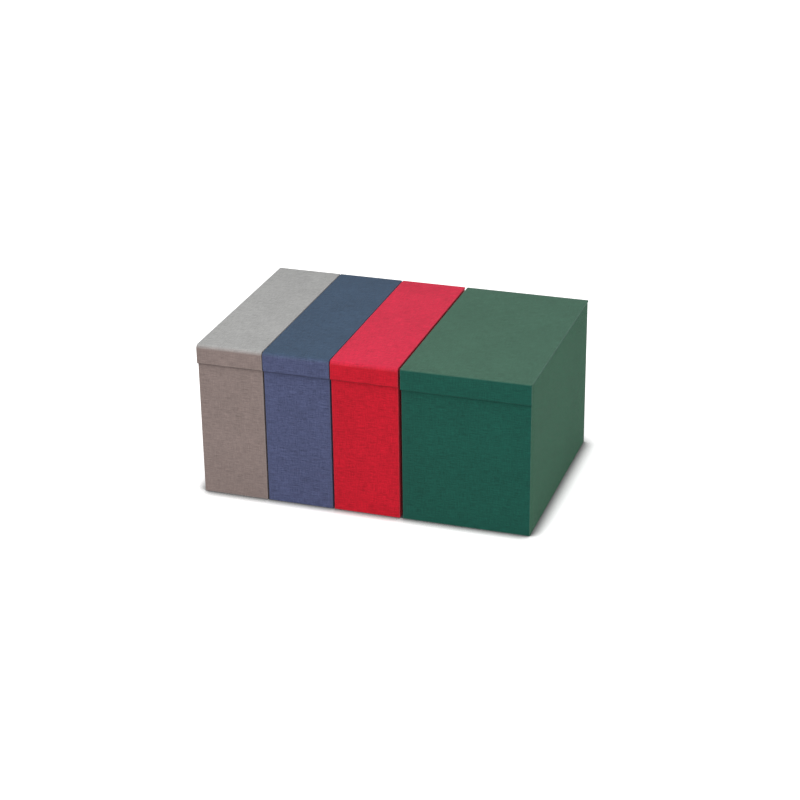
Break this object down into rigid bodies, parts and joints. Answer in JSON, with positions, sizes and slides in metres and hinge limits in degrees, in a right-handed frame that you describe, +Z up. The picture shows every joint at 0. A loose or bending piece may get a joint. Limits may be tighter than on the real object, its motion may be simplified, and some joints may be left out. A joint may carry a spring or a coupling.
{
  "type": "transfer file box",
  "caption": "Row of cloth-covered board transfer file boxes, narrow ones beside a wide one, each with a cloth-hinged lid whose lip drops over the front.",
  "frame": {"origin": "middle of the row's footprint, on the surface that it stands on", "axes": "+X along the row towards the wide box, -Y towards the fronts with the lids' lips, +Z up"},
  "size_m": [0.566, 0.3766, 0.267],
  "materials": {
    "board": "matte",
    "tape": "matte",
    "lining_paper": "matte",
    "base_paper": "matte",
    "grey_cloth": "matte",
    "blue_cloth": "matte",
    "red_cloth": "matte",
    "green_cloth": "matte"
  },
  "bodies": {
    "grey_box": {"grey_left_board": "board", "grey_right_board": "board", "grey_front_board": "board", "grey_back_board": "board", "grey_base_board": "board", "grey_corner_stays": "tape", "grey_body_cloth": "grey_cloth", "grey_body_lining": "lining_paper", "grey_base_paper": "base_paper", "grey_hinge_cloth": "grey_cloth"},
    "grey_lid": {"grey_lid_board": "board", "grey_lip_board": "board", "grey_lid_lining": "lining_paper", "grey_lid_cloth": "grey_cloth"},
    "blue_box": {"blue_left_board": "board", "blue_right_board": "board", "blue_front_board": "board", "blue_back_board": "board", "blue_base_board": "board", "blue_corner_stays": "tape", "blue_body_cloth": "blue_cloth", "blue_body_lining": "lining_paper", "blue_base_paper": "base_paper", "blue_hinge_cloth": "blue_cloth"},
    "blue_lid": {"blue_lid_board": "board", "blue_lip_board": "board", "blue_lid_lining": "lining_paper", "blue_lid_cloth": "blue_cloth"},
    "red_box": {"red_left_board": "board", "red_right_board": "board", "red_front_board": "board", "red_back_board": "board", "red_base_board": "board", "red_corner_stays": "tape", "red_body_cloth": "red_cloth", "red_body_lining": "lining_paper", "red_base_paper": "base_paper", "red_hinge_cloth": "red_cloth"},
    "red_lid": {"red_lid_board": "board", "red_lip_board": "board", "red_lid_lining": "lining_paper", "red_lid_cloth": "red_cloth"},
    "green_box": {"green_left_board": "board", "green_right_board": "board", "green_front_board": "board", "green_back_board": "board", "green_base_board": "board", "green_corner_stays": "tape", "green_body_cloth": "green_cloth", "green_body_lining": "lining_paper", "green_base_paper": "base_paper", "green_hinge_cloth": "green_cloth"},
    "green_lid": {"green_lid_board": "board", "green_lip_board": "board", "green_lid_lining": "lining_paper", "green_lid_cloth": "green_cloth"}
  },
  "joints": [
    {"name": "grey_lid_hinge", "type": "hinge", "parent": "grey_box", "child": "grey_lid", "pos_m": [-0.2257, 0.18845, 0.26365], "axis": [-1, 0, 0], "range_deg": [0, 180]},
    {"name": "blue_lid_hinge", "type": "hinge", "parent": "blue_box", "child": "blue_lid", "pos_m": [-0.11, 0.18845, 0.26365], "axis": [-1, 0, 0], "range_deg": [0, 180]},
    {"name": "red_lid_hinge", "type": "hinge", "parent": "red_box", "child": "red_lid", "pos_m": [0.0061, 0.18845, 0.26365], "axis": [-1, 0, 0], "range_deg": [0, 180]},
    {"name": "green_lid_hinge", "type": "hinge", "parent": "green_box", "child": "green_lid", "pos_m": [0.17495, 0.18845, 0.26365], "axis": [-1, 0, 0], "range_deg": [0, 180]},
    {"name": "red_box_pull_out", "type": "slide", "parent": "green_box", "child": "red_box", "axis": [0, -1, 0], "range_m": [0, 0.4]},
    {"name": "blue_box_pull_out", "type": "slide", "parent": "green_box", "child": "blue_box", "axis": [0, -1, 0], "range_m": [0, 0.4]},
    {"name": "grey_box_pull_out", "type": "slide", "parent": "green_box", "child": "grey_box", "axis": [0, -1, 0], "range_m": [0, 0.4]}
  ]
}
